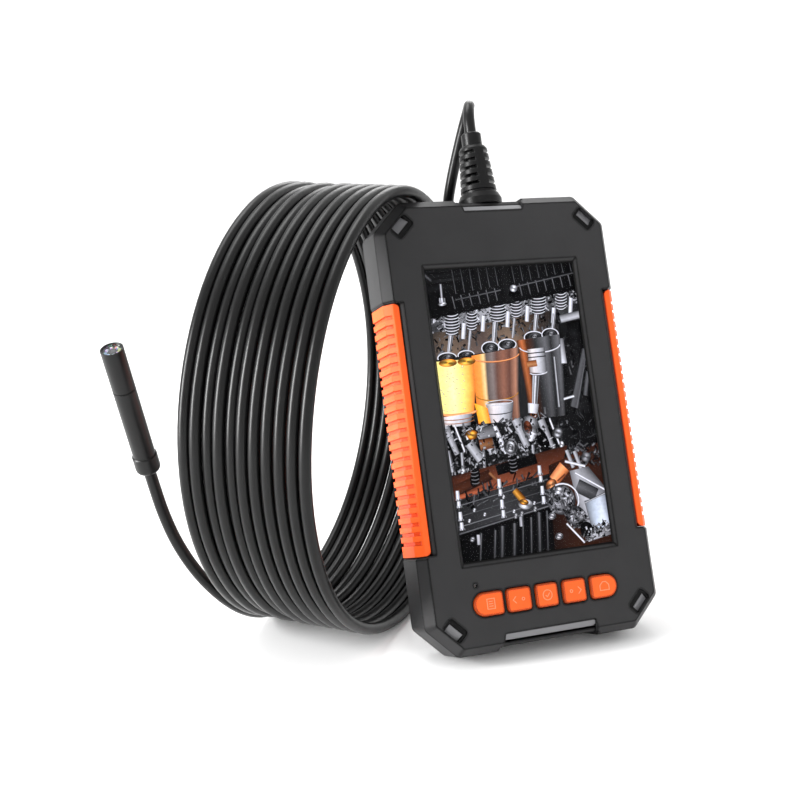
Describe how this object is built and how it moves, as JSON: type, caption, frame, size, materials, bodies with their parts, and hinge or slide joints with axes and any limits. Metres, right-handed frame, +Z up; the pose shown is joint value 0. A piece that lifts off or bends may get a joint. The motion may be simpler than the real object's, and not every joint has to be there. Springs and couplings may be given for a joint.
{
  "type": "inspection camera",
  "caption": "Handheld inspection camera with a portrait display, orange side grips, five keys and a coiled probe cable.",
  "frame": {"origin": "on the floor, under the middle of the leaning handset, cable and probe left out", "axes": "+X to the handset's right as it faces the viewer, +Y to the back, +Z up"},
  "size_m": [0.1756, 0.138, 0.1732],
  "materials": {
    "shell": "fine moulded texture",
    "grip": "satin orange soft-touch rubber",
    "pad": "satin grey",
    "seal": "matte",
    "window": "polished",
    "display": "glossy",
    "sheet": "pressed sheet",
    "ribbon": "flexible printed ribbon",
    "board": "solder mask",
    "chip": "matte black",
    "switch": "matte",
    "clear": "clear",
    "plated": "tin plated",
    "boot": "satin black rubber",
    "steel": "plain",
    "cell": "foil pouch",
    "nylon": "natural nylon",
    "wire": "insulated wire",
    "cable": "glossy black jacket",
    "probe": "black anodised",
    "key": "satin orange"
  },
  "bodies": {
    "handset": {"front_cover": "shell", "rear_cover": "shell", "left_grip": "grip", "right_grip": "grip", "corner_pads": "pad", "corner_liners": "boot", "window_gasket": "seal", "window_lens": "window", "display_panel": "display", "display_bracket": "sheet", "display_ribbon": "ribbon", "main_board": "board", "image_processor": "chip", "board_chips": "chip", "key_switches": "switch", "keypad_mat": "seal", "indicator_pipe": "clear", "indicator_led": "clear", "usb_socket": "plated", "card_socket": "plated", "hinge_pin": "steel", "battery_pack": "cell", "battery_pad": "seal", "battery_socket": "nylon", "battery_lead": "wire", "case_seal": "seal", "case_screws": "steel", "board_screws": "steel", "cable_connector": "nylon", "inner_lead": "cable", "strain_relief": "boot", "cable_top": "cable", "cable_coil": "cable", "cable_end": "cable", "probe_collar": "probe", "probe_housing": "probe", "probe_cap": "probe", "probe_window": "clear", "lens_barrel": "probe", "light_board": "board", "probe_leds": "clear", "sensor_board": "board"},
    "menu_key": {"menu_key": "key"},
    "left_key": {"left_key": "key"},
    "select_key": {"select_key": "key"},
    "right_key": {"right_key": "key"},
    "back_key": {"back_key": "key"},
    "port_cover": {"port_cover": "boot"},
    "memory_card": {"memory_card": "chip"}
  },
  "joints": [
    {"name": "menu_key_press", "type": "slide", "parent": "handset", "child": "menu_key", "axis": [0, 0.9317, -0.3633], "range_m": [0, 0.0005], "stiffness_N_per_m": 1500},
    {"name": "left_key_press", "type": "slide", "parent": "handset", "child": "left_key", "axis": [0, 0.9317, -0.3633], "range_m": [0, 0.0005], "stiffness_N_per_m": 1500},
    {"name": "select_key_press", "type": "slide", "parent": "handset", "child": "select_key", "axis": [0, 0.9317, -0.3633], "range_m": [0, 0.0005], "stiffness_N_per_m": 1500},
    {"name": "right_key_press", "type": "slide", "parent": "handset", "child": "right_key", "axis": [0, 0.9317, -0.3633], "range_m": [0, 0.0005], "stiffness_N_per_m": 1500},
    {"name": "back_key_press", "type": "slide", "parent": "handset", "child": "back_key", "axis": [0, 0.9317, -0.3633], "range_m": [0, 0.0005], "stiffness_N_per_m": 1500},
    {"name": "port_cover_hinge", "type": "hinge", "parent": "handset", "child": "port_cover", "pos_m": [0.02, 0.02936, 0.13816], "axis": [-1, 0, 0], "range_deg": [0, 110]},
    {"name": "memory_card_push", "type": "slide", "parent": "handset", "child": "memory_card", "axis": [0, -0.3633, -0.9317], "range_m": [0, 0.0006], "stiffness_N_per_m": 1500}
  ]
}
